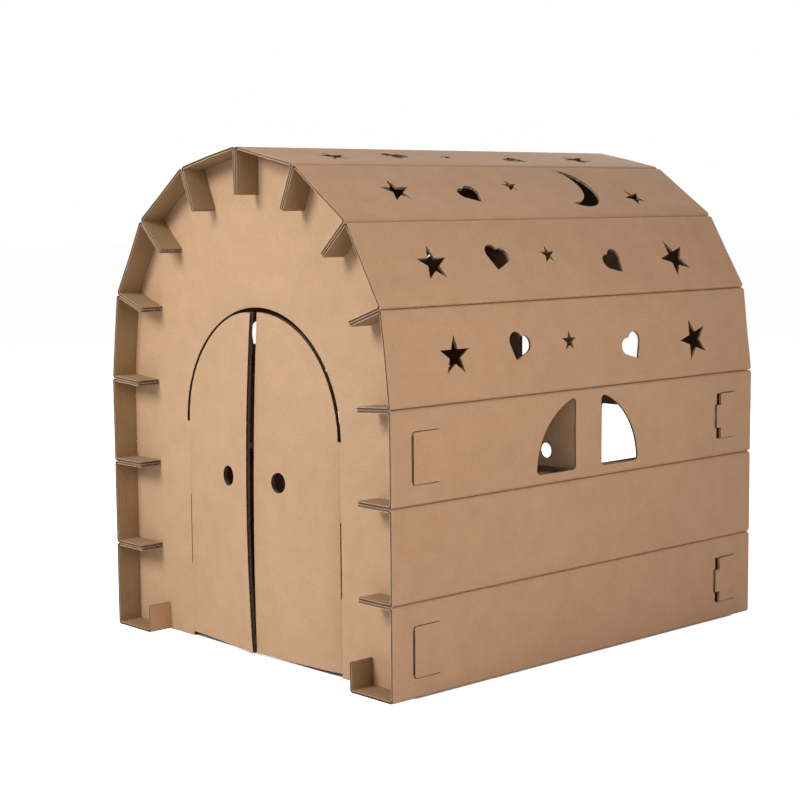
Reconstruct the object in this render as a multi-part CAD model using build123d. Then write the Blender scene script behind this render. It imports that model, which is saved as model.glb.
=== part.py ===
from build123d import *

import os
from math import atan, cos, degrees, hypot, radians, sin

os.makedirs("parts", exist_ok=True)

# A child's barrel-vaulted playhouse, slotted together from sixteen folded sheets of corrugated
# board: fourteen channel-shaped slats make the walls and the vault, and two flat end panels
# lock them in line.  +X is the right-hand side seen from the door, +Y runs from the door end to
# the back, +Z is up, and the origin is on the floor under the middle of the house.

# ---- Driving dimensions, in millimetres ----------------------------------------------------
overall_height = 1000.0     # floor to the outside of the ridge
half_width = 435.0          # middle of the house to the outside of an upright wall
house_length = 1045.0       # length of every slat, along Y
wall_course = 176.0         # face height of one upright slat
wall_courses = 3            # upright slats on each side
roof_courses = 4            # sloping slats on each side, from the eaves to the ridge

slat_board = 5.0            # single-wall board of the slats
panel_board = 8.0           # double-wall board of the end panels
fold_radius = 6.5           # outside radius of a folded edge
back_gap = 0.8              # air between the backs of two neighbouring flanges
fit = 0.4                   # clearance on each side of everything slotted together

flange_depth = 92.5         # slat face to the inner edge of its flange
floor_flange = 117.0        # width of the flange that lies on the floor
lip_height = 57.0           # upstand on the inner edge of the floor flange
end_overhang = 52.5         # slat end to the outer face of an end panel

door_half_width = 236.0     # middle of the doorway to the hinge crease of a leaf
door_spring = 449.0         # floor to the centre of the door arch
arch_past_hinge = 4.0       # how far the slot round the top of the doors reaches past the hinges
arch_slot = 8.0             # width of that slot
door_floor_gap = 9.0        # floor to the bottom of a leaf
leaf_gap = 2.0              # gap between the two leaves when shut
left_leaf_angle = 7.9       # how far the left leaf stands open, degrees
right_leaf_angle = 4.0      # how far the right leaf stands open, degrees
hinge_slit_bottom = 152.0   # the slit between the two creases of a hinge
hinge_slit_top = 297.0
hinge_slit = 3.0
pull_radius = 20.0          # finger hole in each leaf
pull_height = 356.0
pull_from_hinge = 165.0
crease_bite = 0.5           # overlap that joins a leaf to the panel along its crease

window_sill = 20.0          # lower edge of the slat's face to the sill of the half-round window
window_head = 8.0           # top of the window to the upper edge of the slat's face
mullion_half = 37.0
window_corner = 9.0
shutter_pull_radius = 15.0
shutter_pull_reach = 76.0   # mullion edge to the shutter's finger hole
shutter_pull_rise = 30.0    # sill to the shutter's finger hole
shutter_fold_low = 9.0      # sill to the lower end of the shutter's fold
shutter_fold_high = 127.4   # sill to the upper end of the shutter's fold
shutter_bite = 1.0          # overlap that joins a shutter to the slat along its fold

pane_inner = 60.0           # back window: middle of the panel to the near edge of a pane
pane_outer = 190.0          # middle of the panel to the far edge of a pane
back_sill = 285.0
back_transom_low = 432.0
back_transom_high = 482.0
back_spring = 567.0         # centre of the back window's arch
pane_corner = 10.0

lock_slit = 1.6             # knife-cut slit round a lock flap
lock_past_panel = 1.0       # a lock flap's outer edge to the outer face of the end panel
front_lock_width = 65.0     # size of a lock flap along the house
back_lock_width = 57.5
lock_low = 38.0             # lower edge of the slat's face to the bottom of the flap
lock_high = 134.0
tongue_low = 61.0
tongue_high = 110.0
tongue_reach = 15.0

# ---- The section: corner points of the house and the way each joint faces --------------------
eaves_height = wall_course * wall_courses
vault_start = 90.0 - 2.0 * degrees(atan((overall_height - eaves_height) / half_width))
vault_radius = half_width / cos(radians(vault_start))
vault_centre = overall_height - vault_radius
vault_step = (90.0 - vault_start) / roof_courses
arch_slot_radius = door_half_width + arch_past_hinge
window_radius = wall_course - window_sill - window_head
panel_outer = house_length / 2.0 - end_overhang
panel_middle = panel_outer - panel_board / 2.0
lock_edge = panel_outer + lock_past_panel


def vault_corner(index):
    """Corner of the vault, counted up from the eaves."""
    angle = radians(vault_start + index * vault_step)
    return (vault_radius * cos(angle), vault_centre + vault_radius * sin(angle))


corners = [(half_width, course * wall_course) for course in range(wall_courses + 1)]
corners += [vault_corner(index) for index in range(1, roof_courses)]
corners += [(0.0, overall_height)]


def unit(start, end):
    """Unit vector from one point to another."""
    length = hypot(end[0] - start[0], end[1] - start[1])
    return ((end[0] - start[0]) / length, (end[1] - start[1]) / length)


def inward(index):
    """Direction of the flanges at a corner: along the bisector, into the house."""
    if index == len(corners) - 1:
        return (0.0, -1.0)
    below = unit(corners[index - 1], corners[index])
    above = unit(corners[index], corners[index + 1])
    across = (-(below[1] + above[1]), below[0] + above[0])
    return unit((0.0, 0.0), across)


def meet(point, direction, other, other_direction):
    """Point where two straight lines cross."""
    cross = direction[0] * other_direction[1] - direction[1] * other_direction[0]
    gap = (other[0] - point[0], other[1] - point[1])
    reach = (gap[0] * other_direction[1] - gap[1] * other_direction[0]) / cross
    return (point[0] + reach * direction[0], point[1] + reach * direction[1])


def along(point, direction, distance):
    """Point at a distance from another, in a direction."""
    return (point[0] + distance * direction[0], point[1] + distance * direction[1])


# ---- Folded board ---------------------------------------------------------------------------
def folded_strip(outside):
    """Section of a folded sheet, from the corner points of its outer face.

    The sheet's thickness lies to the left of the line from the first point to the last.
    """
    runs = [unit(start, end) for start, end in zip(outside, outside[1:])]
    left = [(-run[1], run[0]) for run in runs]
    inside = [along(outside[0], left[0], slat_board)]
    for index in range(1, len(runs)):
        before = along(outside[index], left[index - 1], slat_board)
        after = along(outside[index], left[index], slat_board)
        inside.append(meet(before, runs[index - 1], after, runs[index]))
    inside.append(along(outside[-1], left[-1], slat_board))
    folds = len(outside) - 2
    radii = [0.0] + [fold_radius] * folds + [0.0, 0.0] + [fold_radius - slat_board] * folds + [0.0]
    outline = FilletPolyline(outside + inside[::-1], radius=radii, close=True)
    return make_face(Plane.XZ * outline)


def slat_outside(index):
    """Corner points of a slat's outer face, from its lower flange round to its upper one."""
    low, high = corners[index], corners[index + 1]
    face = unit(low, high)
    upper = inward(index + 1)
    upper_back = along(high, (-upper[1], upper[0]), back_gap / 2.0)
    upper_fold = meet(low, face, upper_back, upper)
    upper_edge = along(upper_fold, upper, flange_depth)
    if index == 0:
        inner_fold = (half_width - floor_flange, 0.0)
        return [(inner_fold[0], lip_height), inner_fold, low, upper_fold, upper_edge]
    lower = inward(index)
    lower_back = along(low, (lower[1], -lower[0]), back_gap / 2.0)
    lower_fold = meet(low, face, lower_back, lower)
    lower_edge = along(lower_fold, lower, flange_depth)
    return [lower_edge, lower_fold, upper_fold, upper_edge]


def face_plane(index):
    """Plane of a slat's outer face: local x runs back, local y climbs from the lower corner."""
    low, high = corners[index], corners[index + 1]
    face = unit(low, high)
    return Plane(origin=(low[0], 0.0, low[1]), x_dir=(0, 1, 0), z_dir=(face[1], 0, -face[0]))


def through(plane, outline, thickness):
    """Cutter that passes through a sheet whose face lies in a plane."""
    return extrude(plane * outline, amount=2.0 * thickness, both=True)


# ---- Slots where the slats and the end panels halve into each other --------------------------
half_lap = flange_depth / 2.0


def radial_box(index, near, far, width, length, middle_y):
    """Box along the joint at a corner, from one depth to another below the corner."""
    direction = inward(index)
    centre = along(corners[index], direction, (near + far) / 2.0)
    plane = Plane(
        origin=(centre[0], middle_y, centre[1]),
        x_dir=(direction[0], 0, direction[1]),
        z_dir=(0, 1, 0),
    )
    return plane * Box(far - near, width, length)


def flange_slots(index):
    """Open-ended slots in the flanges at a corner, one for each end panel."""
    width = 2.0 * (back_gap + 2.0 * slat_board)
    length = panel_board + 2.0 * fit
    far = flange_depth + fold_radius
    middles = (-panel_middle, panel_middle)
    return [radial_box(index, half_lap, far, width, length, middle) for middle in middles]


def lip_slots():
    """Slots in the top of the floor slat's upstand, one for each end panel."""
    slots = []
    for side in (-1, 1):
        place = Pos(half_width - floor_flange + slat_board / 2.0, side * panel_middle, lip_height)
        slots.append(place * Box(4.0 * slat_board, panel_board + 2.0 * fit, lip_height))
    return slots


# ---- Cut-out motifs, drawn on a slat's face --------------------------------------------------
def star(y, height, radius, turn):
    """Five-pointed star; turn is the direction of its first point, in degrees."""
    waist = radius * sin(radians(18.0)) / sin(radians(54.0))
    points = []
    for index in range(10):
        reach = waist if index % 2 else radius
        angle = radians(turn + 36.0 * index)
        points.append((y + reach * cos(angle), height + reach * sin(angle)))
    return make_face(Polyline(points, close=True))


def heart(y, height, side, turn):
    """Heart made of a square stood on its corner with a half disc on each upper side."""
    square = Rot(0, 0, 45) * Rectangle(side, side)
    offset = side / (2.0 * 2.0**0.5)
    lobes = Pos(-offset, offset) * Circle(side / 2.0) + Pos(offset, offset) * Circle(side / 2.0)
    return Pos(y, height) * Rot(0, 0, turn) * (square + lobes)


def crescent(y, height, radius, shift_y, shift_height):
    """Crescent moon: a disc with an equal disc, shifted to one side, taken out of it."""
    return Pos(y, height) * (Circle(radius) - Pos(shift_y, shift_height) * Circle(radius))


def row_of_motifs():
    """The row of stars and hearts that three of the slats on each side share."""
    return [
        star(-353.0, 86.0, 39.0, 90.0),
        heart(-185.0, 89.0, 34.0, -21.0),
        star(-43.0, 95.0, 21.0, 90.0),
        heart(143.5, 70.0, 34.0, 30.0),
        star(336.0, 76.0, 45.0, 180.0),
    ]


def moon_row():
    """The row with the crescent moon, on the slat below the ridge."""
    return [
        star(-331.0, 91.0, 37.0, 90.0),
        heart(-143.5, 75.0, 34.0, 21.0),
        star(-13.0, 106.0, 21.0, 90.0),
        crescent(163.0, 98.0, 64.0, -35.0, 14.0),
        star(333.0, 66.0, 30.0, 180.0),
    ]


# ---- Window with shutters --------------------------------------------------------------------
def window_opening(side):
    """One of the two quarter-round openings; side is -1 towards the door, +1 towards the back."""
    disc = Pos(0.0, window_sill) * Circle(window_radius)
    keep = Rectangle(window_radius, window_radius, align=(Align.MIN, Align.MIN))
    quarter = disc & (Pos(mullion_half, window_sill) * keep)
    rounded = fillet(quarter.vertices(), window_corner)
    return rounded if side > 0 else mirror(rounded, about=Plane.YZ)


def shutter(side):
    """Shutter of one opening, folded square into the house about the mullion's edge."""
    flat = Pos(-mullion_half, 0.0) * window_opening(1)
    pull = Pos(shutter_pull_reach, window_sill + shutter_pull_rise) * Circle(shutter_pull_radius)
    fold_length = shutter_fold_high - shutter_fold_low
    fold = Rectangle(2.0 * window_corner, fold_length, align=(Align.MIN, Align.MIN))
    leaf = flat - pull + Pos(-shutter_bite, window_sill + shutter_fold_low) * fold
    corner = (half_width - slat_board, side * mullion_half, wall_course * (window_course - 1))
    plane = Plane(origin=corner, x_dir=(-1, 0, 0), z_dir=(0, 1, 0))
    return extrude(plane * leaf, amount=-side * slat_board)


# ---- Lock flaps ------------------------------------------------------------------------------
def lock_cut(y_low, y_high, has_tongue):
    """Knife cut round a flap that stays joined along its far edge."""
    height = lock_high - lock_low
    middle = (lock_low + lock_high) / 2.0
    width = y_high - y_low
    bars = [
        Pos(y_low + width / 2.0, lock_low) * Rectangle(width, lock_slit),
        Pos(y_low + width / 2.0, lock_high) * Rectangle(width, lock_slit),
    ]
    if not has_tongue:
        bars.append(Pos(y_low, middle) * Rectangle(lock_slit, height + lock_slit))
        return bars
    lower = tongue_low - lock_low
    upper = lock_high - tongue_high
    tongue = tongue_high - tongue_low
    tongue_side = Rectangle(tongue_reach + lock_slit, lock_slit)
    bars += [
        Pos(y_low, lock_low + lower / 2.0) * Rectangle(lock_slit, lower + lock_slit),
        Pos(y_low, lock_high - upper / 2.0) * Rectangle(lock_slit, upper + lock_slit),
        Pos(y_low - tongue_reach / 2.0, tongue_low) * tongue_side,
        Pos(y_low - tongue_reach / 2.0, tongue_high) * tongue_side,
        Pos(y_low - tongue_reach, middle) * Rectangle(lock_slit, tongue + lock_slit),
    ]
    return bars


# ---- Slats -----------------------------------------------------------------------------------
slat_names = [
    "floor_slat",
    "wall_slat",
    "window_slat",
    "eaves_slat",
    "lower_roof_slat",
    "moon_slat",
    "ridge_slat",
]
window_course = 3
moon_course = 6
locked_courses = (1, window_course)


def right_slat(index):
    """One slat of the right-hand side, counted from the floor."""
    course = index + 1
    slat = extrude(folded_strip(slat_outside(index)), amount=house_length / 2.0, both=True)
    for cutter in flange_slots(index + 1):
        slat -= cutter
    for cutter in lip_slots() if index == 0 else flange_slots(index):
        slat -= cutter
    plane = face_plane(index)
    outlines = []
    if course in locked_courses:
        outlines += lock_cut(-lock_edge, front_lock_width - lock_edge, False)
        outlines += lock_cut(lock_edge - back_lock_width, lock_edge, True)
    if course == window_course:
        outlines += [window_opening(-1), window_opening(1)]
    if course > window_course:
        outlines += moon_row() if course == moon_course else row_of_motifs()
    for outline in outlines:
        slat -= through(plane, outline, slat_board)
    if course == window_course:
        slat += shutter(-1)
        slat += shutter(1)
    return slat


# ---- End panels ------------------------------------------------------------------------------
def panel_blank():
    """Outline of an end panel: inside the slats, notched for every pair of flanges."""
    inset = slat_board + fit
    edges = []
    for low, high in zip(corners[wall_courses - 1 :], corners[wall_courses:]):
        face = unit(low, high)
        edges.append((along(low, (-face[1], face[0]), inset), face))
    relief = fold_radius - slat_board
    right = [(half_width - inset - relief, inset), (half_width - inset, inset + relief)]
    right += [meet(*edges[index - 1], *edges[index]) for index in range(1, len(edges))]
    ridge = meet(*edges[-1], (0.0, 0.0), (0.0, 1.0))
    lip_face = half_width - floor_flange
    lip_top = lip_height / 2.0 + fit
    feet = [(lip_face - fit, 0.0), (lip_face - fit, lip_top)]
    feet += [(lip_face + inset, lip_top), (lip_face + inset, inset + relief)]
    feet += [(lip_face + inset + relief, inset)]
    half = feet + right + [ridge]
    mirrored = [(-x, z) for x, z in half[-2::-1]]
    return make_face(Plane.XZ * Polyline(half + mirrored, close=True))


def end_panel_sheet(middle_y):
    """Flat end panel with its notches, before any doors or windows are cut."""
    sheet = extrude(panel_blank(), amount=panel_board / 2.0, both=True)
    sheet = Pos(0.0, middle_y, 0.0) * sheet
    length = 4.0 * panel_board
    slot = back_gap + 2.0 * slat_board + 2.0 * fit
    mouth = slot + 2.0 * (fold_radius - slat_board)
    mouth_depth = slat_board + 2.0 * (fold_radius - slat_board)
    for index in range(1, len(corners)):
        notch = radial_box(index, -half_lap, half_lap + fit, slot, length, middle_y)
        notch += radial_box(index, -half_lap, mouth_depth, mouth, length, middle_y)
        sheet -= notch
        if index < len(corners) - 1:
            sheet -= mirror(notch, about=Plane.YZ)
    return sheet


def arched(radius, half, bottom):
    """Doorway shape on the XZ plane: straight sides below a half-round head."""
    upward = (Align.CENTER, Align.MIN)
    above = Pos(0.0, door_spring) * Rectangle(4.0 * radius, 2.0 * radius, align=upward)
    head = Pos(0.0, door_spring) * Circle(radius) & above
    foot = Pos(0.0, bottom) * Rectangle(2.0 * half, door_spring - bottom, align=upward)
    return head + foot


def door_leaf(side, angle):
    """One leaf of the doors, swung outwards about its crease; side is -1 left, +1 right."""
    leaf = arched(arch_slot_radius - arch_slot, door_half_width + crease_bite, door_floor_gap)
    far = Rectangle(4.0 * door_half_width, 4.0 * overall_height, align=(Align.MIN, Align.CENTER))
    leaf -= Pos(-leaf_gap / 2.0, 0.0) * far
    leaf -= Pos(pull_from_hinge - door_half_width, pull_height) * Circle(pull_radius)
    sheet = extrude(Plane.XZ * leaf, amount=panel_board / 2.0, both=True)
    hinge = Pos(-door_half_width, -panel_middle, 0.0)
    swung = hinge * Rot(0, 0, -angle) * hinge.inverse() * Pos(0.0, -panel_middle, 0.0) * sheet
    return swung if side < 0 else mirror(swung, about=Plane.YZ)


def front_panel():
    """Door end: the arched doors are cut from the panel and hang on its creases."""
    panel = end_panel_sheet(-panel_middle)
    doorway = extrude(
        Plane.XZ * arched(arch_slot_radius, door_half_width, -door_floor_gap),
        amount=2.0 * panel_board,
        both=True,
    )
    panel -= Pos(0.0, -panel_middle, 0.0) * doorway
    panel += door_leaf(-1, left_leaf_angle)
    panel += door_leaf(1, right_leaf_angle)
    slit_height = hinge_slit_top - hinge_slit_bottom
    slit_middle = (hinge_slit_top + hinge_slit_bottom) / 2.0
    for side in (-1, 1):
        place = Pos(side * door_half_width, -panel_middle, slit_middle)
        panel -= place * Box(hinge_slit, 4.0 * panel_board, slit_height)
    return panel


def back_pane(is_upper):
    """Right-hand pane of the back window, lower or upper."""
    if not is_upper:
        height = back_transom_low - back_sill
        pane = Rectangle(pane_outer - pane_inner, height, align=(Align.MIN, Align.MIN))
        return fillet((Pos(pane_inner, back_sill) * pane).vertices(), pane_corner)
    height = back_spring + pane_outer - back_transom_high
    frame = Rectangle(pane_outer - pane_inner, height, align=(Align.MIN, Align.MIN))
    below = Rectangle(2.0 * pane_outer, height, align=(Align.CENTER, Align.MAX))
    arch = Pos(0.0, back_spring) * (Circle(pane_outer) + below)
    pane = Pos(pane_inner, back_transom_high) * frame & arch
    return fillet(pane.vertices().sort_by(Axis.Y)[:2], pane_corner)


def back_panel():
    """Back end: a plain panel with a four-pane arched window."""
    panel = end_panel_sheet(panel_middle)
    for is_upper in (False, True):
        pane = extrude(Plane.XZ * back_pane(is_upper), amount=2.0 * panel_board, both=True)
        cutter = Pos(0.0, panel_middle, 0.0) * pane
        panel -= cutter
        panel -= mirror(cutter, about=Plane.YZ)
    return panel


# ---- Build and write every piece -------------------------------------------------------------
def write(shape, name):
    """Write one piece as a STEP file named after its node."""
    export_step(shape, f"parts/{name}.step")


for position, slat_name in enumerate(slat_names):
    right = right_slat(position)
    write(right, f"right_{slat_name}")
    write(Rot(0, 0, 180) * right, f"left_{slat_name}")

write(front_panel(), "front_panel")
write(back_panel(), "back_panel")
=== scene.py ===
from math import acos, atan, cos, hypot, pi, radians, sin, sqrt, tan

import bpy
import numpy as np
from mathutils import Matrix, Vector
from mathutils.geometry import delaunay_2d_cdt


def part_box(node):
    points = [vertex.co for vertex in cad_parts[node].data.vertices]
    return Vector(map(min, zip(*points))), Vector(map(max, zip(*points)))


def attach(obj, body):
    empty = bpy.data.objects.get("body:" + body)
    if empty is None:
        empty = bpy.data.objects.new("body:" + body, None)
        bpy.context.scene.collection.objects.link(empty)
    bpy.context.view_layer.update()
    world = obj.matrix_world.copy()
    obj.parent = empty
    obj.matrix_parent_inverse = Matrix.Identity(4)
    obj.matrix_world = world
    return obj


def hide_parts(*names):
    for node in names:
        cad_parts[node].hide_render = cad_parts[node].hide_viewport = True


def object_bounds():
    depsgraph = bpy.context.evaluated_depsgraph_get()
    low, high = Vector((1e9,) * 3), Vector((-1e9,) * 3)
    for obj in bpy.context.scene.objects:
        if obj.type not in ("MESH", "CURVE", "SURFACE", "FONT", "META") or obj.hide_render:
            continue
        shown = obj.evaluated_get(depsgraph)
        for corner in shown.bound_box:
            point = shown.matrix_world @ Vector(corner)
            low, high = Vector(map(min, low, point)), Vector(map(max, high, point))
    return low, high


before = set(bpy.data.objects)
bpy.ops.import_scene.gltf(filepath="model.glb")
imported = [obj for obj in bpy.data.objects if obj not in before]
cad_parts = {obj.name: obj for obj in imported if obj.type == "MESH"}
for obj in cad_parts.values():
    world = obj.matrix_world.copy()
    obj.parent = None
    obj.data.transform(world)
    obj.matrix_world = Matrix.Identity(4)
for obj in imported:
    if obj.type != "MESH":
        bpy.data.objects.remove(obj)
cad_box = [list(corner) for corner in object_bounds()]

# ---- Floor slats ---------------------------------------------------------------------------
# The lowest slat on each side is one sheet of single-wall corrugated board, creased into a
# channel: an upright lip, a flange that lies on the floor, the face, and a flange at the top.
# Its flutes run up the face, so the cut edge of each flange shows them end on.
half_width = cad_box[1][0]
slat_length = cad_box[1][1] - cad_box[0][1]
course_height = (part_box("right_wall_slat")[0].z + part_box("right_wall_slat")[1].z) / 3.0
ridge_height = 1.0
vault_start = pi / 2.0 - 2.0 * atan((ridge_height - 3.0 * course_height) / half_width)
vault_radius = half_width / cos(vault_start)
vault_step = (pi / 2.0 - vault_start) / 4.0

slat_board = 0.005
liner_paper = 0.00045
flute_paper = 0.00035
flute_pitch = 0.009
fold_radius = 0.0065
back_gap = 0.0008
flange_depth = 0.0925
floor_flange = 0.117
lip_height = 0.057
panel_board = 0.008
panel_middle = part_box("back_panel")[1].y - panel_board / 2.0
slot_length = panel_board + 0.0008
grid_step = 0.045
bend_step = 0.0022
closest_lines = 0.004
points_per_flute = 6.0
sharp_bend = radians(35.0)
glue_lap = 0.00004
board_between_pieces = 100.0 * flute_pitch


def vault_corner(count):
    """Corner of the vault in the house's cross-section, counted up from the eaves."""
    angle = vault_start + count * vault_step
    rise = ridge_height - vault_radius + vault_radius * sin(angle)
    return Vector((vault_radius * cos(angle), rise))


corners = [Vector((half_width, count * course_height)) for count in range(3)]
corners += [vault_corner(count) for count in range(4)] + [Vector((0.0, ridge_height))]


def inward(index):
    """Direction in which the flanges at a corner reach into the house."""
    if index == len(corners) - 1:
        return Vector((0.0, -1.0))
    below = (corners[index] - corners[index - 1]).normalized()
    above = (corners[index + 1] - corners[index]).normalized()
    return Vector((-(below.y + above.y), below.x + above.x)).normalized()


def meet(point, run, other, other_run):
    """Point where two straight lines of the cross-section meet."""
    gap = other - point
    return point + run * (gap.cross(other_run) / run.cross(other_run))


def slat_outside(index):
    """Corner points of a slat's outer face, from its lower flange round to its upper one."""
    low, high = corners[index], corners[index + 1]
    face = (high - low).normalized()
    upper = inward(index + 1)
    upper_back = high + Vector((-upper.y, upper.x)) * back_gap / 2.0
    upper_fold = meet(low, face, upper_back, upper)
    upper_edge = upper_fold + upper * flange_depth
    if index == 0:
        inner_fold = Vector((half_width - floor_flange, 0.0))
        lip_edge = inner_fold + Vector((0.0, lip_height))
        return [lip_edge, inner_fold, low, upper_fold, upper_edge]
    lower = inward(index)
    lower_back = low + Vector((lower.y, -lower.x)) * back_gap / 2.0
    lower_fold = meet(low, face, lower_back, lower)
    return [lower_fold + lower * flange_depth, lower_fold, upper_fold, upper_edge]


def fold_plan(outside):
    """Straight runs and creases of a folded sheet in order along its flat blank, and its length.

    Each is (place on the blank, start point, direction, turn), where a straight run turns by 0.
    """
    runs = [(end - start).normalized() for start, end in zip(outside, outside[1:])]
    plan, place, point = [], 0.0, outside[0]
    for index, run in enumerate(runs):
        plan.append((place, point, run, 0.0))
        if index == len(runs) - 1:
            place += (outside[-1] - point).dot(run)
            break
        turn = acos(max(-1.0, min(1.0, run.dot(runs[index + 1]))))
        tangent = fold_radius * tan(turn / 2.0)
        straight = (outside[index + 1] - point).dot(run) - tangent
        plan.append((place + straight, point + run * straight, run, turn))
        place += straight + fold_radius * turn
        point = outside[index + 1] + runs[index + 1] * tangent
    return plan, place


def fold_up(plan, spots):
    """Puts points of the blank (along the house, up the blank, depth) where folding takes them."""
    along, up, depth = spots.T
    placed = np.zeros_like(spots)
    placed[:, 1] = along
    stops = [later[0] for later in plan[1:]] + [np.inf]
    for number, ((place, point, run, turn), stop) in enumerate(zip(plan, stops)):
        start = place if number else -np.inf
        here = (up >= start) & (up < stop)
        reach = up[here] - place
        left = (-run.y, run.x)
        if turn == 0.0:
            for axis, part in ((0, 0), (2, 1)):
                placed[here, axis] = point[part] + run[part] * reach + left[part] * depth[here]
            continue
        angle = reach / fold_radius
        radius = fold_radius - depth[here]
        for axis, part in ((0, 0), (2, 1)):
            centre = point[part] + left[part] * fold_radius
            swing = run[part] * np.sin(angle) - left[part] * np.cos(angle)
            placed[here, axis] = centre + radius * swing
    return placed


def inside(loop, spots):
    """Which of the flat spots lie inside a closed loop."""
    x, y = spots.T
    result = np.zeros(len(spots), bool)
    for (x0, y0), (x1, y1) in zip(loop, [*loop[1:], loop[0]]):
        if y0 != y1:
            crosses = (y0 > y) != (y1 > y)
            result ^= crosses & (x < (x1 - x0) * (y - y0) / (y1 - y0) + x0)
    return result


def cut_sheet(columns, rows, holes, outline=None):
    """Cuts a flat sheet along grid lines and round its holes; gives its spots and triangles."""
    spots = [Vector((across, up)) for across in columns for up in rows]
    count = len(rows)
    edges = [(i * count + j, i * count + j + 1) for i in range(len(columns)) for j in range(count - 1)]
    edges += [(i * count + j, (i + 1) * count + j) for i in range(len(columns) - 1) for j in range(count)]
    for loop in holes + ([outline] if outline else []):
        first = len(spots)
        spots += [Vector(spot) for spot in loop]
        edges += [(first + k, first + (k + 1) % len(loop)) for k in range(len(loop))]
    spots, _, faces, _, _, _ = delaunay_2d_cdt(spots, edges, [], 0, 1e-6)
    spots = np.array([tuple(spot) for spot in spots])
    faces = np.array(faces)
    middles = spots[faces].mean(axis=1)
    keep = inside(outline, middles) if outline else np.ones(len(faces), bool)
    for hole in holes:
        keep &= ~inside(hole, middles)
    used, faces = np.unique(faces[keep], return_inverse=True)
    return spots[used], faces.reshape(-1, 3)


LINER, INSIDE, CUT_EDGE, FLUTING = 0, 1, 2, 3


def closed_sheet(spots, faces, near, far, near_finish, far_finish):
    """Paper between two depths, closed round its edges, with a finish for each face."""
    count = len(spots)
    near = np.broadcast_to(near, count)
    far = np.broadcast_to(far, count)
    solid = np.vstack([np.column_stack([spots, near]), np.column_stack([spots, far])])
    sides = np.vstack([faces[:, [0, 1]], faces[:, [1, 2]], faces[:, [2, 0]]])
    open_side = ~np.isin(sides[:, 0] * count + sides[:, 1], sides[:, 1] * count + sides[:, 0])
    a, b = sides[open_side].T
    rim = [np.column_stack([b, a, a + count]), np.column_stack([b, a + count, b + count])]
    triangles = np.vstack([faces, faces[:, ::-1] + count, *rim])
    finishes = np.repeat([near_finish, far_finish, CUT_EDGE], [len(faces), len(faces), 2 * len(a)])
    return solid, triangles, finishes


def fluting_sheet(flat, faces, place, shallow, deep, pitch):
    """The waved paper between two liners, which laps a little into each for the glue."""
    middle = (shallow + deep) / 2.0
    swing = (deep - shallow - flute_paper) / 2.0 + glue_lap
    wave = middle + swing * np.cos(2.0 * pi * place / pitch)
    half = flute_paper / 2.0
    return closed_sheet(flat, faces, wave - half, wave + half, FLUTING, FLUTING)


def spread(start, stop, step):
    """Even steps from start to stop, each about the step asked for."""
    return list(np.linspace(start, stop, max(2, round(abs(stop - start) / step) + 1)))


def with_lines(lines, extra):
    """Grid lines with more lines put among them, in place of any that would lie too close."""
    kept = [line for line in lines if all(abs(line - other) > closest_lines for other in extra)]
    return sorted(kept + extra)


def corrugated(plan, length, half_length, holes, crease_lines):
    """The three papers of a slat's board: outer liner, fluting and inner liner."""
    rows = []
    stops = [later[0] for later in plan[1:]] + [length]
    for (place, _, _, turn), stop in zip(plan, stops):
        rows += spread(place, stop, bend_step if turn else grid_step)[:-1]
    rows.append(length)
    columns = with_lines(spread(-half_length, half_length, grid_step), crease_lines)
    flat, faces = cut_sheet(columns, rows, holes)
    inner = slat_board - liner_paper
    papers = [
        closed_sheet(flat, faces, 0.0, liner_paper, LINER, FLUTING),
        closed_sheet(flat, faces, inner, slat_board, FLUTING, INSIDE),
    ]
    columns = spread(-half_length, half_length, flute_pitch / points_per_flute)
    for (place, _, _, turn), stop in zip(plan, stops):
        if turn:
            continue
        here = [hole for hole in holes if reaches(hole, place, stop)]
        flat, faces = cut_sheet(columns, spread(place, stop, grid_step), here)
        papers.append(fluting_sheet(flat, faces, flat[:, 0], liner_paper, inner, flute_pitch))
    return papers


def reaches(loop, low, high):
    """Whether a loop on the blank lies in a stretch of it."""
    heights = [spot[1] for spot in loop]
    return max(heights) > low and min(heights) < high


def oblong(across, up, wide, high):
    """Rectangle with its lower left corner at a place on the blank."""
    return [(across, up), (across + wide, up), (across + wide, up + high), (across, up + high)]


def edge_slots(low, high):
    """The pair of slots across a flange that take the end panels."""
    return [
        oblong(side * panel_middle - slot_length / 2.0, low, slot_length, high - low)
        for side in (-1, 1)
    ]


def face_start(plan):
    """The straight run of a plan that is the slat's face, and the crease that ends it."""
    run = [part for part in plan if part[3] == 0.0][-2]
    after = plan[plan.index(run) + 1]
    return run, after


cut_pieces = []


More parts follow.
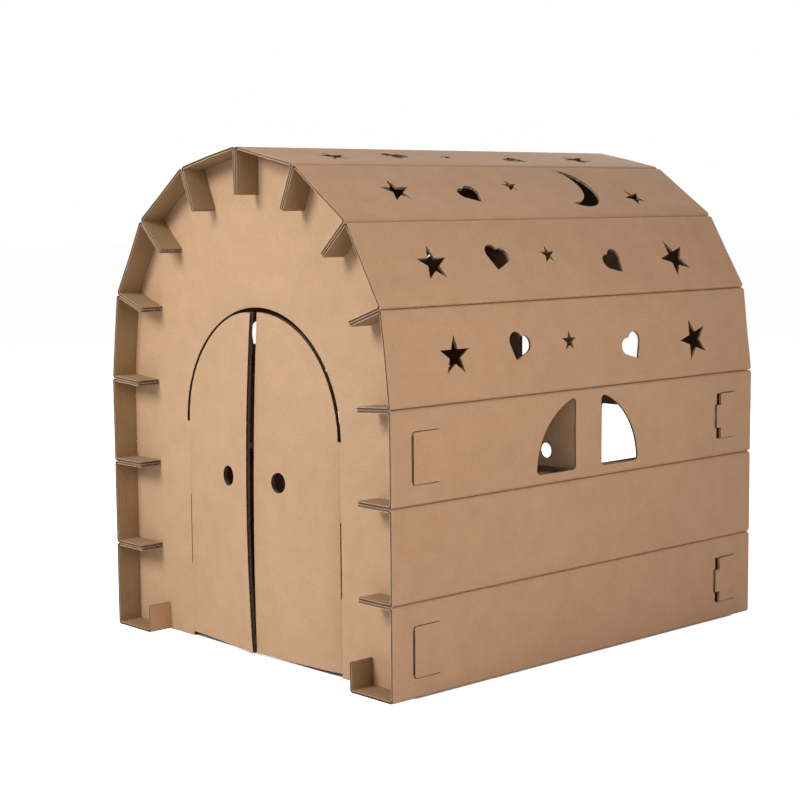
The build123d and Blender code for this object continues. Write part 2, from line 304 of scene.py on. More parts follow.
def make_paper_piece(name, papers, finishes, place):
    """One mesh of all a piece's papers, with its blank kept as a UV map for grain and flutes.

    Each piece is cut from its own stretch of board, so that no two have the same grain.
    """
    spots, triangles, kinds, first = [], [], [], 0
    for solid, faces, finish in papers:
        spots.append(solid)
        triangles.append(faces + first)
        kinds.append(finish)
        first += len(solid)
    spots, triangles, kinds = np.vstack(spots), np.vstack(triangles), np.concatenate(kinds)
    placed = place(spots)
    a, b, c = placed[triangles.T]
    if np.einsum("ij,ij->i", a, np.cross(b, c)).sum() < 0.0:
        triangles = triangles[:, ::-1]
    mesh = bpy.data.meshes.new(name)
    mesh.vertices.add(len(placed))
    mesh.vertices.foreach_set("co", placed.astype(np.float32).ravel())
    mesh.loops.add(triangles.size)
    mesh.loops.foreach_set("vertex_index", triangles.astype(np.int32).ravel())
    mesh.polygons.add(len(triangles))
    mesh.polygons.foreach_set("loop_start", np.arange(0, triangles.size, 3, dtype=np.int32))
    mesh.polygons.foreach_set("material_index", kinds.astype(np.int32))
    mesh.polygons.foreach_set("use_smooth", np.ones(len(triangles), bool))
    mesh.update(calc_edges=True)
    blank = mesh.uv_layers.new(name="blank")
    stretch = spots[triangles.ravel(), :2] + len(cut_pieces) * board_between_pieces
    blank.data.foreach_set("uv", stretch.astype(np.float32).ravel())
    mesh.set_sharp_from_angle(angle=sharp_bend)
    for finish in finishes:
        mesh.materials.append(finish)
    mesh.validate()
    piece = bpy.data.objects.new(name, mesh)
    bpy.context.scene.collection.objects.link(piece)
    cut_pieces.append(piece)
    return piece


def kraft_paper_group():
    """Kraft liner: cloudy pulp, long fibres, dark and light flecks and the flutes showing through."""
    tree = bpy.data.node_groups.new("kraft_paper", "ShaderNodeTree")
    face = tree.interface
    face.new_socket("Blank", in_out="INPUT", socket_type="NodeSocketVector")
    for label, value in (
        ("Light", (0.66, 0.46, 0.30, 1.0)),
        ("Dark", (0.56, 0.37, 0.23, 1.0)),
        ("Fleck", (0.30, 0.18, 0.10, 1.0)),
    ):
        face.new_socket(label, in_out="INPUT", socket_type="NodeSocketColor").default_value = value
    for label, value in (
        ("Cloud", 0.5),
        ("Fibre", 0.5),
        ("Flecks", 0.5),
        ("Flute Pitch", 0.009),
        ("Washboard", 0.5),
        ("Upright Flutes", 1.0),
    ):
        face.new_socket(label, in_out="INPUT", socket_type="NodeSocketFloat").default_value = value
    face.new_socket("Color", in_out="OUTPUT", socket_type="NodeSocketColor")
    face.new_socket("Roughness", in_out="OUTPUT", socket_type="NodeSocketFloat")
    face.new_socket("Height", in_out="OUTPUT", socket_type="NodeSocketFloat")
    links = tree.links
    given = tree.nodes.new("NodeGroupInput")
    result = tree.nodes.new("NodeGroupOutput")

    def math_node(operation, first, second=None, clamp=False):
        made = tree.nodes.new("ShaderNodeMath")
        made.operation = operation
        made.use_clamp = clamp
        for socket, value in zip(made.inputs, (first, second)):
            if isinstance(value, (int, float)):
                socket.default_value = value
            elif value is not None:
                links.new(value, socket)
        return made.outputs[0]

    def noise(scale, detail, stretch=(1.0, 1.0, 1.0)):
        mapping = tree.nodes.new("ShaderNodeMapping")
        mapping.inputs["Scale"].default_value = stretch
        links.new(given.outputs["Blank"], mapping.inputs["Vector"])
        made = tree.nodes.new("ShaderNodeTexNoise")
        made.noise_dimensions = "3D"
        made.inputs["Scale"].default_value = scale
        made.inputs["Detail"].default_value = detail
        links.new(mapping.outputs["Vector"], made.inputs["Vector"])
        return made.outputs["Fac"]

    cloud = math_node("SUBTRACT", noise(22.0, 5.0), 0.5)
    patch = math_node("SUBTRACT", noise(4.0, 2.0), 0.5)
    pulp = math_node("SUBTRACT", noise(300.0, 4.0), 0.5)
    fibre = math_node("SUBTRACT", noise(110.0, 4.0, (1.0, 4.0, 1.0)), 0.5)
    slow = math_node("ADD", math_node("MULTIPLY", cloud, 2.4), math_node("MULTIPLY", patch, 1.6))
    slow = math_node("MULTIPLY", slow, given.outputs["Cloud"])
    fine = math_node("ADD", math_node("MULTIPLY", fibre, 3.0), math_node("MULTIPLY", pulp, 3.6))
    fine = math_node("MULTIPLY", fine, given.outputs["Fibre"])

    split = tree.nodes.new("ShaderNodeSeparateXYZ")
    links.new(given.outputs["Blank"], split.inputs[0])
    sideways = math_node("MULTIPLY", split.outputs["X"], given.outputs["Upright Flutes"])
    level = math_node("SUBTRACT", 1.0, given.outputs["Upright Flutes"])
    level = math_node("MULTIPLY", split.outputs["Y"], level)
    across = math_node("DIVIDE", math_node("ADD", sideways, level), given.outputs["Flute Pitch"])
    wave = math_node("COSINE", math_node("MULTIPLY", across, 2.0 * pi))
    wave = math_node("MULTIPLY", wave, math_node("MULTIPLY", given.outputs["Washboard"], 0.06))

    tone = math_node("ADD", math_node("ADD", slow, fine), wave)
    tone = math_node("ADD", tone, 0.5, clamp=True)
    shade = tree.nodes.new("ShaderNodeMix")
    shade.data_type = "RGBA"
    links.new(tone, shade.inputs["Factor"])
    links.new(given.outputs["Dark"], shade.inputs["A"])
    links.new(given.outputs["Light"], shade.inputs["B"])

    specks = tree.nodes.new("ShaderNodeTexVoronoi")
    stretch = tree.nodes.new("ShaderNodeMapping")
    stretch.inputs["Scale"].default_value = (1.0, 2.6, 1.0)
    links.new(given.outputs["Blank"], stretch.inputs["Vector"])
    links.new(stretch.outputs["Vector"], specks.inputs["Vector"])
    specks.inputs["Scale"].default_value = 190.0
    near = math_node("LESS_THAN", specks.outputs["Distance"], 0.16)
    chosen = math_node("GREATER_THAN", noise(38.0, 2.0), 0.56)
    fleck = math_node("MULTIPLY", math_node("MULTIPLY", near, chosen), given.outputs["Flecks"])
    flecked = tree.nodes.new("ShaderNodeMix")
    flecked.data_type = "RGBA"
    links.new(fleck, flecked.inputs["Factor"])
    links.new(shade.outputs["Result"], flecked.inputs["A"])
    links.new(given.outputs["Fleck"], flecked.inputs["B"])
    links.new(flecked.outputs["Result"], result.inputs["Color"])

    rough = math_node("ADD", 0.82, math_node("MULTIPLY", fine, 0.25))
    links.new(rough, result.inputs["Roughness"])
    height = math_node("ADD", math_node("MULTIPLY", wave, 1.2), math_node("MULTIPLY", fine, 0.25))
    links.new(height, result.inputs["Height"])
    return tree


kraft_paper = kraft_paper_group()
fleck_amount = 0.35
bump_height = 0.001


def kraft_finish(name, light, dark, washboard, upright=1.0):
    """A board's paper, from the kraft effect and this finish's own colours."""
    material = bpy.data.materials.new(name)
    material.use_nodes = True
    tree = material.node_tree
    shader = tree.nodes["Principled BSDF"]
    shader.inputs["Specular IOR Level"].default_value = 0.25
    shader.inputs["Sheen Weight"].default_value = 0.05
    paper = tree.nodes.new("ShaderNodeGroup")
    paper.node_tree = kraft_paper
    blank = tree.nodes.new("ShaderNodeUVMap")
    blank.uv_map = "blank"
    tree.links.new(blank.outputs["UV"], paper.inputs["Blank"])
    paper.inputs["Light"].default_value = (*light, 1.0)
    paper.inputs["Dark"].default_value = (*dark, 1.0)
    paper.inputs["Flute Pitch"].default_value = flute_pitch
    paper.inputs["Washboard"].default_value = washboard
    paper.inputs["Upright Flutes"].default_value = upright
    paper.inputs["Flecks"].default_value = fleck_amount
    bump = tree.nodes.new("ShaderNodeBump")
    bump.inputs["Strength"].default_value = 0.6
    bump.inputs["Distance"].default_value = bump_height
    tree.links.new(paper.outputs["Color"], shader.inputs["Base Color"])
    tree.links.new(paper.outputs["Roughness"], shader.inputs["Roughness"])
    tree.links.new(paper.outputs["Height"], bump.inputs["Height"])
    tree.links.new(bump.outputs["Normal"], shader.inputs["Normal"])
    return material


slat_finishes = [
    kraft_finish("slat_liner", (0.514, 0.306, 0.177), (0.436, 0.250, 0.139), 0.5),
    # Painted shade: the inside paper is the liner made darker and redder, for the shade and brown bounce
    # light inside the house.
    kraft_finish("slat_inside_painted_shade", (0.335, 0.209, 0.103), (0.272, 0.164, 0.077), 1.6),
    kraft_finish("slat_cut_edge", (0.62, 0.44, 0.30), (0.50, 0.34, 0.22), 0.0),
    kraft_finish("slat_fluting", (0.27, 0.17, 0.10), (0.19, 0.115, 0.065), 0.0),
]

slat_names = [
    "floor_slat",
    "wall_slat",
    "window_slat",
    "eaves_slat",
    "lower_roof_slat",
    "moon_slat",
    "ridge_slat",
]


def on_face(plan, index, loops):
    """Moves loops drawn on a slat's face to their place on its blank."""
    run, _ = face_start(plan)
    face = (corners[index + 1] - corners[index]).normalized()
    lead = (run[1] - corners[index]).dot(face)
    return [[(across, up - lead + run[0]) for across, up in loop] for loop in loops]


swell_range = (0.0003, 0.0008)
waves_along = (0.7, 1.3, 2.1)


def slat_pair(index, loops, flaps=()):
    """Folds both slats of one course from the same blank; the left one is turned end for end.

    Each flap is (outline, crease, reach, lift): it stands off the face by lift at its free end.
    """
    plan, length = fold_plan(slat_outside(index))
    half_lap = flange_depth / 2.0
    low_slot = lip_height / 2.0 if index == 0 else half_lap
    holes = edge_slots(0.0, low_slot) + edge_slots(length - half_lap, length)
    holes += on_face(plan, index, loops)
    lifted = [(on_face(plan, index, [flap[0]])[0], *flap[1:]) for flap in flaps]
    crease_lines = [crease for _, crease, _, _ in flaps]
    papers = corrugated(plan, length, slat_length / 2.0, holes, crease_lines)
    run, after = face_start(plan)
    face_low, face_high = run[0], after[0]
    for side, sign in (("right", 1.0), ("left", -1.0)):
        draw = np.random.default_rng(10 * index + (1 if side == "left" else 0))
        phase = draw.uniform(0.0, 2.0 * pi, 3)
        swell = draw.uniform(*swell_range, 3)

        def place(spots):
            spots = spots.copy()
            on = np.clip((spots[:, 1] - face_low) / (face_high - face_low), 0.0, 1.0)
            bulge = np.sin(pi * on) ** 2
            along = spots[:, 0] / slat_length * 2.0 * pi
            ripple = sum(
                size * np.sin(turns * along + start)
                for size, turns, start in zip(swell, waves_along, phase)
            )
            spots[:, 2] += ripple * bulge
            for loop, crease, reach, lift in lifted:
                held = inside(loop, spots[:, :2])
                spots[held, 2] -= lift * np.abs(spots[held, 0] - crease) / reach
            return fold_up(plan, spots) * (sign, sign, 1.0)

        name = f"{side}_{slat_names[index]}"
        piece = make_paper_piece(f"{name}_board", papers, slat_finishes, place)
        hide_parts(name)
        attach(piece, "root")


def rounded_line(line, radius):
    """A line of straight runs with its inner corners rounded."""
    line = [Vector(spot) for spot in line]
    result = [line[0]]
    for before, corner, after in zip(line, line[1:], line[2:]):
        away = (before - corner).normalized()
        onward = (after - corner).normalized()
        size = min(radius, (before - corner).length / 2.0, (after - corner).length / 2.0)
        for step in range(5):
            t = step / 4.0
            start = corner + away * size * (1.0 - t) ** 2
            result.append(start + onward * size * t**2)
    return result + [line[-1]]


def knife_slit(line, width):
    """Outline of a slit of a given width along a line."""
    left, right = [], []
    for index, spot in enumerate(line):
        before = line[max(index - 1, 0)]
        after = line[min(index + 1, len(line) - 1)]
        run = (after - before).normalized()
        side = Vector((-run.y, run.x)) * width / 2.0
        left.append(spot + side)
        right.append(spot - side)
    return [tuple(spot) for spot in left + right[::-1]]


lock_low, lock_high = 0.038, 0.134
lock_clearance = 0.001
lock_edge = panel_middle + panel_board / 2.0 + lock_clearance
lock_slit = 0.0016
front_reach, front_lift, front_round = 0.065, 0.0022, 0.007
back_reach, back_lift, back_round = 0.0725, 0.0050, 0.002
front_crease = lock_edge - front_reach
front_gap = 0.0036
tongue_low, tongue_high = 0.061, 0.110
tongue_setback = 0.0575
tongue_root = lock_edge - tongue_setback
tongue_reach = 0.015
tongue_tip = tongue_root - tongue_reach
shoulder_gap = 0.0095
front_lock = [
    (-front_crease, lock_low),
    (-lock_edge, lock_low),
    (-lock_edge, lock_high),
    (-front_crease, lock_high),
]
back_lock = [
    (lock_edge, lock_low),
    (tongue_root, lock_low),
    (tongue_root, tongue_low),
    (tongue_tip, tongue_low),
    (tongue_tip, tongue_high),
    (tongue_root, tongue_high),
    (tongue_root, lock_high),
    (lock_edge, lock_high),
]
front_line = rounded_line(front_lock, front_round)
back_line = rounded_line(back_lock, back_round)
upright = lock_high - lock_low - 2.0 * front_round
lock_slits = [
    knife_slit(front_line, lock_slit),
    knife_slit(back_line, lock_slit),
    oblong(-lock_edge - front_gap / 2.0, lock_low + front_round, front_gap, upright),
    oblong(tongue_root - shoulder_gap, lock_low, shoulder_gap, tongue_low - lock_low),
    oblong(tongue_root - shoulder_gap, tongue_high, shoulder_gap, lock_high - tongue_high),
]
lock_flaps = [
    ([tuple(spot) for spot in front_line], -front_crease, front_reach, front_lift),
    ([tuple(spot) for spot in back_line], lock_edge, back_reach, back_lift),
]
slat_pair(0, lock_slits, lock_flaps)

# ---- Wall slats ----------------------------------------------------------------------------
# The second course is a plain channel that stands on the floor slat, flange to flange.  The
# end panels' notches hold the two flanges of each joint back to back.
slat_pair(1, [])

# ---- Window slats --------------------------------------------------------------------------
# The third course has a half-round window with a mullion left up the middle.  Its two
# shutters are the board of the openings itself, folded back square into the house.
window_sill = 0.020
window_head = 0.008
window_radius = course_height - window_sill - window_head
mullion_half = 0.037
window_corner = 0.009


def window_opening():
    """Quarter-round opening towards the back of the house, with rounded corners."""
    r, big = window_corner, window_radius
    foot = sqrt((big - r) ** 2 - r**2)
    head = sqrt((big - r) ** 2 - (mullion_half + r) ** 2)
    loop = []

    def corner(across, up, start, stop):
        for angle in np.linspace(start, stop, 7):
            loop.append((across + r * cos(angle), window_sill + up + r * sin(angle)))

    corner(mullion_half + r, r, -pi, -pi / 2.0)
    lean = atan(r / foot)
    corner(foot, r, -pi / 2.0, lean)
    top = atan(head / (mullion_half + r))
    for angle in np.linspace(lean, top, 30)[1:-1]:
        loop.append((big * cos(angle), window_sill + big * sin(angle)))
    corner(mullion_half + r, head, top, pi)
    return loop


def circle(across, up, radius, steps=40):
    """Round hole."""
    turns = [2.0 * pi * step / steps for step in range(steps)]
    return [(across + radius * cos(turn), up + radius * sin(turn)) for turn in turns]


def fluted_patch(outline, holes):
    """Single-wall board of any flat outline, with upright flutes."""
    across = [spot[0] for spot in outline]
    up = [spot[1] for spot in outline]
    rows = spread(min(up), max(up), grid_step)
    flat, faces = cut_sheet(spread(min(across), max(across), grid_step), rows, holes, outline)
    inner = slat_board - liner_paper
    papers = [
        closed_sheet(flat, faces, 0.0, liner_paper, LINER, FLUTING),
        closed_sheet(flat, faces, inner, slat_board, FLUTING, INSIDE),
    ]
    columns = spread(min(across), max(across), flute_pitch / points_per_flute)
    flat, faces = cut_sheet(columns, rows, holes, outline)
    return papers + [fluting_sheet(flat, faces, flat[:, 0], liner_paper, inner, flute_pitch)]


opening = window_opening()
openings = [opening, [(-across, up) for across, up in opening][::-1]]
slat_pair(2, openings + lock_slits, lock_flaps)
shutter_bite = 0.002
leaf = [(max(across - mullion_half, -shutter_bite), up) for across, up in opening]
shutter_pull_across, shutter_pull_up, shutter_pull_radius = 0.076, 0.030, 0.015
shutter_pull = circle(shutter_pull_across, window_sill + shutter_pull_up, shutter_pull_radius)
shutter_papers = fluted_patch(leaf, [shutter_pull])
for side, sign in (("right", 1.0), ("left", -1.0)):
    for end, fold in (("front", -1.0), ("back", 1.0)):

        def place(spots):
            across, up, depth = spots.T
            inwards = sign * (half_width - slat_board - across)
            stand = fold * (mullion_half - depth)
            return np.column_stack([inwards, stand, 2.0 * course_height + up])

        piece = make_paper_piece(f"{side}_{end}_shutter", shutter_papers, slat_finishes, place)
        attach(piece, "root")

# ---- Eaves slats ---------------------------------------------------------------------------
# The fourth course leans out a little and starts the vault.  Stars and hearts are die-cut
# through its face, large and small by turns.


def star(across, up, radius, turn):
    """Five-pointed star; turn is the direction of its first point, in degrees."""
    waist = radius * sin(radians(18.0)) / sin(radians(54.0))
    loop = []
    for index in range(10):
        reach = waist if index % 2 else radius
        angle = radians(turn + 36.0 * index)
        loop.append((across + reach * cos(angle), up + reach * sin(angle)))
    return loop


def heart(across, up, side, turn):
    """Heart: a square stood on its corner with a half disc on each upper side."""
    offset = side / (2.0 * sqrt(2.0))
    loop = [(0.0, -2.0 * offset)]
    for lobe, start in ((offset, -45.0), (-offset, 45.0)):
        for angle in np.linspace(start, start + 180.0, 19):
            spot = (side / 2.0 * cos(radians(angle)), side / 2.0 * sin(radians(angle)))
            loop.append((lobe + spot[0], offset + spot[1]))
    c, s = cos(radians(turn)), sin(radians(turn))
    return [(across + x * c - y * s, up + x * s + y * c) for x, y in loop]


def crescent(across, up, radius, shift_across, shift_up):
    """Crescent moon: a disc less an equal disc shifted to one side."""
    distance = hypot(shift_across, shift_up)
    toward = np.arctan2(shift_up, shift_across)
    spread_angle = acos(distance / (2.0 * radius))
    loop = []
    for angle in np.linspace(toward + spread_angle, toward + 2.0 * pi - spread_angle, 41):
        loop.append((across + radius * cos(angle), up + radius * sin(angle)))
    for angle in np.linspace(toward + pi + spread_angle, toward + pi - spread_angle, 31)[1:-1]:
        place_across = across + shift_across + radius * cos(angle)
        loop.append((place_across, up + shift_up + radius * sin(angle)))
    return loop


motifs = [
    star(-0.353, 0.086, 0.039, 90.0),
    heart(-0.185, 0.089, 0.034, -21.0),
    star(-0.043, 0.095, 0.021, 90.0),
    heart(0.1435, 0.070, 0.034, 30.0),
    star(0.336, 0.076, 0.045, 180.0),
]
slat_pair(3, motifs)

# ---- Lower roof slats ----------------------------------------------------------------------
# The fifth course carries the same row of stars and hearts up the curve of the vault.
slat_pair(4, motifs)

# ---- Moon slats ----------------------------------------------------------------------------
# The sixth course has a crescent moon among its stars and a heart.
moon_row = [
    star(-0.331, 0.091, 0.037, 90.0),
    heart(-0.1435, 0.075, 0.034, 21.0),
    star(-0.013, 0.106, 0.021, 90.0),
    crescent(0.163, 0.098, 0.064, -0.035, 0.014),
    star(0.333, 0.066, 0.030, 180.0),
]
slat_pair(5, moon_row)

# ---- Ridge slats ---------------------------------------------------------------------------
# The two highest slats meet at the ridge, where their flanges hang straight down.
slat_pair(6, motifs)

# ---- Front panel ---------------------------------------------------------------------------
# The door end is one flat sheet of double-wall board, notched all round its edge to halve into
# the slats' flanges.  The doors are cut from it with an arched slot, and swing on two pressed
# creases that each have a slit in the middle.  Its flutes lie level.
panel_fit = 0.0004
door_half_width = 0.236
door_spring = 0.449
arch_outer = 0.2415
arch_inner = 0.2325
arch_middle = -0.002
nick_angle = radians(112.0)
nick_width = 0.0018
nick_length = 0.0055
door_floor_gap = 0.009
leaf_gap = 0.002
hinge_slit = (0.152, 0.297)
hinge_slit_width = 0.003
pull_radius = 0.020
pull_height = 0.356
pull_from_hinge = 0.165
left_leaf_angle = radians(7.9)
right_leaf_angle = radians(4.0)
left_leaf_bow = (0.105, 0.300, 0.0037)
right_leaf_bow = (0.072, 0.200, 0.0068)
bow_ease = 7
crease_height = 0.0007
leaf_step = 0.026
leaf_steps = 8
notch_overrun = 0.012
points_per_panel_flute = 5.0
middle_liner = 0.0051
fine_flute_pitch = 0.0064
crease_width = 0.0018


def panel_outline():
    """Outline of an end panel inside the slats, before it is notched."""
    inset = slat_board + panel_fit
    edges = []
    for low, high in zip(corners[2:], corners[3:]):
        face = (high - low).normalized()
        edges.append((low + Vector((-face.y, face.x)) * inset, face))
    relief = fold_radius - slat_board
    wall = half_width - inset
    lip_face = half_width - floor_flange
    lip_top = lip_height / 2.0 + panel_fit
    half = [
        (lip_face - panel_fit, 0.0),
        (lip_face - panel_fit, lip_top),
        (lip_face + inset, lip_top),
        (lip_face + inset, inset + relief),
        (lip_face + inset + relief, inset),
        (wall - relief, inset),
        (wall, inset + relief),
    ]
    for lower, upper in zip(edges, edges[1:]):
        half.append(tuple(meet(lower[0], lower[1], upper[0], upper[1])))
    ridge = meet(edges[-1][0], edges[-1][1], Vector((0.0, 0.0)), Vector((0.0, 1.0)))
    return half + [tuple(ridge)] + [(-across, up) for across, up in half[::-1]]


def notch_loops():
    """The notches that halve an end panel into each pair of flanges, with their wider mouths."""
    slot = back_gap + 2.0 * slat_board + 2.0 * panel_fit
    mouth = slot + 2.0 * (fold_radius - slat_board)
    mouth_depth = slat_board + 2.0 * (fold_radius - slat_board)
    loops = []
    for index in range(1, len(corners)):
        down = inward(index)
        across = Vector((-down.y, down.x))
        root = corners[index] + down * (flange_depth / 2.0 + panel_fit)
        lip = corners[index] + down * mouth_depth
        top = corners[index] - down * notch_overrun
        loop = [
            root - across * slot / 2.0,
            root + across * slot / 2.0,
            lip + across * slot / 2.0,
            lip + across * mouth / 2.0,
            top + across * mouth / 2.0,
            top - across * mouth / 2.0,
            lip - across * mouth / 2.0,
            lip - across * slot / 2.0,
        ]
        loop = [tuple(spot) for spot in loop]
        loops.append(loop)
        if index < len(corners) - 1:
            loops.append([(-x, z) for x, z in loop[::-1]])
    return loops


def double_wall(outline, holes, columns, rows):
    """The five papers of double-wall board: three liners, a coarse and a fine fluting."""
    flat, faces = cut_sheet(columns, rows, holes, outline)
    low, high = middle_liner - liner_paper / 2.0, middle_liner + liner_paper / 2.0
    papers = [
        closed_sheet(flat, faces, 0.0, liner_paper, LINER, FLUTING),
        closed_sheet(flat, faces, low, high, FLUTING, FLUTING),
        closed_sheet(flat, faces, panel_board - liner_paper, panel_board, FLUTING, LINER),
    ]
    for shallow, deep, pitch in (
        (liner_paper, low, flute_pitch),
        (high, panel_board - liner_paper, fine_flute_pitch),
    ):
        flute_rows = spread(rows[0], rows[-1], pitch / points_per_panel_flute)
        flat, faces = cut_sheet(columns, flute_rows, holes, outline)
        papers.append(fluting_sheet(flat, faces, flat[:, 1], shallow, deep, pitch))
    return papers


def arch_arc(radius, start, stop, steps):
    """Points along the arch at the top of the doors, less the two ends."""
    turns = np.linspace(start, stop, steps)[1:-1]
    return [(arch_middle + radius * cos(t), door_spring + radius * sin(t)) for t in turns]


def door_cuts():
    """Arched slot, gaps, hinge slits and finger holes of the doors."""
    nick_half = nick_width / 2.0 / arch_outer
    nick_start, nick_stop = nick_angle - nick_half, nick_angle + nick_half
    top_angle = acos((leaf_gap / 2.0 - arch_middle) / arch_inner)
    top = door_spring + arch_inner * sin(top_angle)
    cuts = [(arch_middle + arch_outer, door_spring)]
    cuts += arch_arc(arch_outer, 0.0, nick_start, 32)
    for radius, angle in (
        (arch_outer, nick_start),
        (arch_outer - nick_length, nick_start),
        (arch_outer - nick_length, nick_stop),
        (arch_outer, nick_stop),
    ):
        cuts.append((arch_middle + radius * cos(angle), door_spring + radius * sin(angle)))
    cuts += arch_arc(arch_outer, nick_stop, pi, 20)
    cuts += [(arch_middle - arch_outer, door_spring), (arch_middle - arch_inner, door_spring)]
    cuts += arch_arc(arch_inner, pi, pi - top_angle, 25)
    cuts += [(-leaf_gap / 2.0, top), (-leaf_gap / 2.0, door_floor_gap), (-door_half_width, door_floor_gap)]
    cuts += [(-door_half_width, 0.0), (door_half_width, 0.0), (door_half_width, door_floor_gap)]
    cuts += [(leaf_gap / 2.0, door_floor_gap), (leaf_gap / 2.0, top)]
    cuts += arch_arc(arch_inner, top_angle, 0.0, 25)
    cuts = [[*cuts, (arch_middle + arch_inner, door_spring)]]
    for side in (-1, 1):
        slit = side * door_half_width - hinge_slit_width / 2.0
        cuts.append(oblong(slit, hinge_slit[0], hinge_slit_width, hinge_slit[1] - hinge_slit[0]))
        cuts.append(circle(side * (door_half_width - pull_from_hinge), pull_height, pull_radius, 56))
    return cuts


def fold_doors(spots):
    """Stands the front panel up and swings its two leaves, which have bowed a little.

    Each leaf is (side, angle, curl, level, push): curl bends it back with the square of the
    height above level, and push brings it forward all the way up.
    """
    across, up, depth = spots.T
    placed = np.column_stack([across, depth - panel_middle - panel_board / 2.0, up])
    from_crease = np.abs(np.abs(across) - door_half_width)
    pressed = np.maximum(1.0 - from_crease / crease_width, 0.0) * crease_height
    pressed[up > door_spring] = 0.0
    placed[:, 1] += pressed
    over = np.hypot(across - arch_middle, up - door_spring) < (arch_outer + arch_inner) / 2.0
    in_door = np.where(up > door_spring, over, np.abs(across) < door_half_width)
    for side, angle, curl, level, push in (
        (-1.0, left_leaf_angle, *left_leaf_bow),
        (1.0, right_leaf_angle, *right_leaf_bow),
    ):
        leaf = in_door & (across * side > 0.0)
        reach = door_half_width - across[leaf] * side
        free = np.clip(reach / (door_half_width - leaf_gap / 2.0), 0.0, 1.0)
        ease = 1.0 - (1.0 - free) ** bow_ease
        bow = (curl * (up[leaf] - level) ** 2 - push) * ease
        offset = depth[leaf] - panel_board / 2.0 + bow + pressed[leaf]
        placed[leaf, 0] = side * (door_half_width - cos(angle) * reach - sin(angle) * offset)
        placed[leaf, 1] = -panel_middle - sin(angle) * reach + cos(angle) * offset
    return placed


panel_finishes = [
    kraft_finish("panel_liner", (0.505, 0.322, 0.191), (0.432, 0.268, 0.152), 0.35, upright=0.0),
    None,
    # Painted shade: the panel's cut edges and fluting are the same paper as the slats' but far darker, for
    # the shade on the door edges and in the slots and cut-outs.
    kraft_finish("panel_cut_edge_painted_shade", (0.24, 0.155, 0.095), (0.16, 0.10, 0.06), 0.0),
    kraft_finish("panel_fluting_painted_shade", (0.13, 0.083, 0.048), (0.08, 0.05, 0.03), 0.0),
]
panel_finishes[INSIDE] = panel_finishes[LINER]
outline = panel_outline()
reach_across = max(spot[0] for spot in outline)
reach_up = max(spot[1] for spot in outline)
leaf_lines = [0.0]
for side in (-1, 1):
    leaf_lines += [side * door_half_width + offset for offset in (-crease_width, 0.0, crease_width)]
    leaf_lines += [side * (door_half_width - leaf_step * step) for step in range(1, leaf_steps + 1)]
columns = with_lines(spread(-reach_across, reach_across, grid_step), leaf_lines)
columns = [line for line in columns if abs(line) > door_half_width or line in leaf_lines]
rows = spread(0.0, reach_up, grid_step)
notches = notch_loops()
papers = double_wall(outline, notches + door_cuts(), columns, rows)
front = make_paper_piece("front_panel_board", papers, panel_finishes, fold_doors)
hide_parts("front_panel")
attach(front, "root")

# ---- Back panel ----------------------------------------------------------------------------
# The back end is the same sheet without doors.  It has an arched window of four panes, and it
# locks in with the tongues that are pushed out of the floor and window slats.
pane_inner, pane_outer = 0.060, 0.190
back_sill = 0.285
back_transom = (0.432, 0.482)
back_spring = 0.567
pane_corner = 0.010


def back_panes():
    """The four openings: square-headed below the transom and quarter-round above it."""
    lower = [
        (pane_inner, back_sill),
        (pane_outer, back_sill),
        (pane_outer, back_transom[0]),
        (pane_inner, back_transom[0]),
    ]
    start = (pane_inner + (pane_outer - pane_inner) / 2.0, back_sill)
    lower = [tuple(spot) for spot in rounded_line([start, *lower[1:], lower[0], start], pane_corner)[:-1]]
    top = acos(pane_inner / pane_outer)
    upper = [(pane_inner, back_spring + pane_outer * sin(top))]
    upper += [(pane_inner, back_transom[1]), (pane_outer, back_transom[1]), (pane_outer, back_spring)]
    upper = [tuple(spot) for spot in rounded_line(upper, pane_corner)]
    for angle in np.linspace(0.0, top, 25)[1:-1]:
        upper.append((pane_outer * cos(angle), back_spring + pane_outer * sin(angle)))
    panes = [lower, upper]
    return panes + [[(-across, up) for across, up in pane[::-1]] for pane in panes]


def stand_back(spots):
    """Stands the back panel up, facing the other way."""
    across, up, depth = spots.T
    return np.column_stack([-across, panel_middle + panel_board / 2.0 - depth, up])


columns = spread(-reach_across, reach_across, grid_step)
papers = double_wall(outline, notches + back_panes(), columns, rows)
back = make_paper_piece("back_panel_board", papers, panel_finishes, stand_back)
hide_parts("back_panel")
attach(back, "root")

# ---- Floor, light and camera ---------------------------------------------------------------
# A plain white studio floor and soft white light, strongest from the front, so that the
# flanges throw soft shadows on the end panel.  The floor glows only where the house doesn't
# stand on it.
floor_reach = 30
floor_glow = 0.8
floor_mesh = bpy.data.meshes.new("studio_floor")
floor_corners = [(x * floor_reach, y * floor_reach, 0) for x, y in ((-1, -1), (1, -1), (1, 1), (-1, 1))]
floor_mesh.from_pydata(floor_corners, [], [(0, 1, 2, 3)])
studio_floor = bpy.data.objects.new("studio_floor", floor_mesh)
bpy.context.scene.collection.objects.link(studio_floor)
white = bpy.data.materials.new("studio_white")
white.use_nodes = True
tree = white.node_tree
shader = tree.nodes["Principled BSDF"]
shader.inputs["Base Color"].default_value = (0.82, 0.82, 0.82, 1.0)
shader.inputs["Roughness"].default_value = 0.9
shader.inputs["Specular IOR Level"].default_value = 0.1
shader.inputs["Emission Strength"].default_value = floor_glow
place = tree.nodes.new("ShaderNodeNewGeometry")
apart = tree.nodes.new("ShaderNodeSeparateXYZ")
tree.links.new(place.outputs["Position"], apart.inputs["Vector"])
outside = []
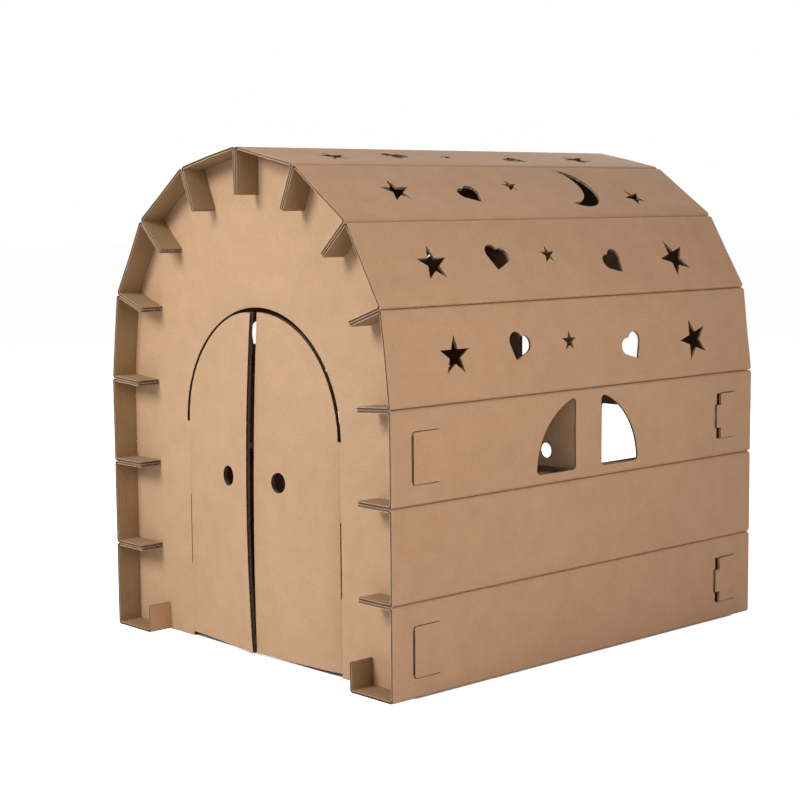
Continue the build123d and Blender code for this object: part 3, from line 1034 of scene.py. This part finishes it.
for axis, reach in (("X", half_width), ("Y", panel_middle)):
    size = tree.nodes.new("ShaderNodeMath")
    size.operation = "ABSOLUTE"
    tree.links.new(apart.outputs[axis], size.inputs[0])
    past = tree.nodes.new("ShaderNodeMath")
    past.operation = "GREATER_THAN"
    past.inputs[1].default_value = reach
    tree.links.new(size.outputs[0], past.inputs[0])
    outside.append(past)
clear = tree.nodes.new("ShaderNodeMath")
clear.operation = "MAXIMUM"
tree.links.new(outside[0].outputs[0], clear.inputs[0])
tree.links.new(outside[1].outputs[0], clear.inputs[1])
seen = tree.nodes.new("ShaderNodeLightPath")
glow = tree.nodes.new("ShaderNodeMath")
glow.operation = "MULTIPLY"
tree.links.new(clear.outputs[0], glow.inputs[0])
tree.links.new(seen.outputs["Is Camera Ray"], glow.inputs[1])
tree.links.new(glow.outputs[0], shader.inputs["Emission Color"])
floor_mesh.materials.append(white)

sky = bpy.data.worlds.new("studio_light")
sky.use_nodes = True
tree = sky.node_tree
background = tree.nodes["Background"]
direction = tree.nodes.new("ShaderNodeTexCoord")
apart = tree.nodes.new("ShaderNodeSeparateXYZ")
tree.links.new(direction.outputs["Generated"], apart.inputs["Vector"])
dome = tree.nodes.new("ShaderNodeValToRGB")
dome.color_ramp.elements[0].position = 0.0
dome.color_ramp.elements[0].color = (0.25, 0.25, 0.25, 1.0)
dome.color_ramp.elements[1].position = 1.0
dome.color_ramp.elements[1].color = (0.20, 0.20, 0.20, 1.0)
tree.links.new(apart.outputs["Z"], dome.inputs["Fac"])
seen = tree.nodes.new("ShaderNodeLightPath")
backdrop = tree.nodes.new("ShaderNodeMix")
backdrop.data_type = "RGBA"
backdrop.inputs["B"].default_value = (1.0, 1.0, 1.0, 1.0)
tree.links.new(seen.outputs["Is Camera Ray"], backdrop.inputs["Factor"])
tree.links.new(dome.outputs["Color"], backdrop.inputs["A"])
tree.links.new(backdrop.outputs["Result"], background.inputs["Color"])
bpy.context.scene.world = sky

for name, place, aim, size, power in (
    ("front_key", (-0.4, -3.6, 2.6), (0.0, -0.3, 0.5), 1.5, 130.0),
    ("side_light", (2.2, -0.65, 1.35), (0.3, -0.1, 0.55), 1.2, 25.0),
    ("left_fill", (-3.0, -1.5, 1.4), (-0.3, -0.4, 0.5), 1.8, 15.0),
    ("back_fill", (-1.2, 3.2, 1.8), (0.0, 0.3, 0.5), 1.8, 60.0),
):
    light = bpy.data.lights.new(name, "AREA")
    light.shape = "SQUARE"
    light.size = size
    light.energy = power
    lamp = bpy.data.objects.new(name, light)
    lamp.location = place
    lamp.rotation_euler = (Vector(aim) - lamp.location).to_track_quat("-Z", "Y").to_euler()
    bpy.context.scene.collection.objects.link(lamp)

camera_place = (2.7148, -2.5882, 0.8902)
camera_lens = 79.71
azimuth, pitch, roll = radians(47.5046), radians(6.3575), radians(-0.4849)
forward = Vector((-sin(azimuth) * cos(pitch), cos(azimuth) * cos(pitch), -sin(pitch)))
level_right = Vector((cos(azimuth), sin(azimuth), 0.0))
level_up = level_right.cross(forward)
right_axis = level_right * cos(roll) + level_up * sin(roll)
up_axis = level_up * cos(roll) - level_right * sin(roll)
lens = bpy.data.cameras.new("camera")
lens.sensor_width = 36.0
lens.lens = camera_lens
camera = bpy.data.objects.new("camera", lens)
turn = Matrix((right_axis, up_axis, -forward)).transposed()
camera.matrix_world = Matrix.Translation(camera_place) @ turn.to_4x4()
bpy.context.scene.collection.objects.link(camera)
bpy.context.scene.camera = camera
bpy.context.scene.view_settings.view_transform = "Standard"
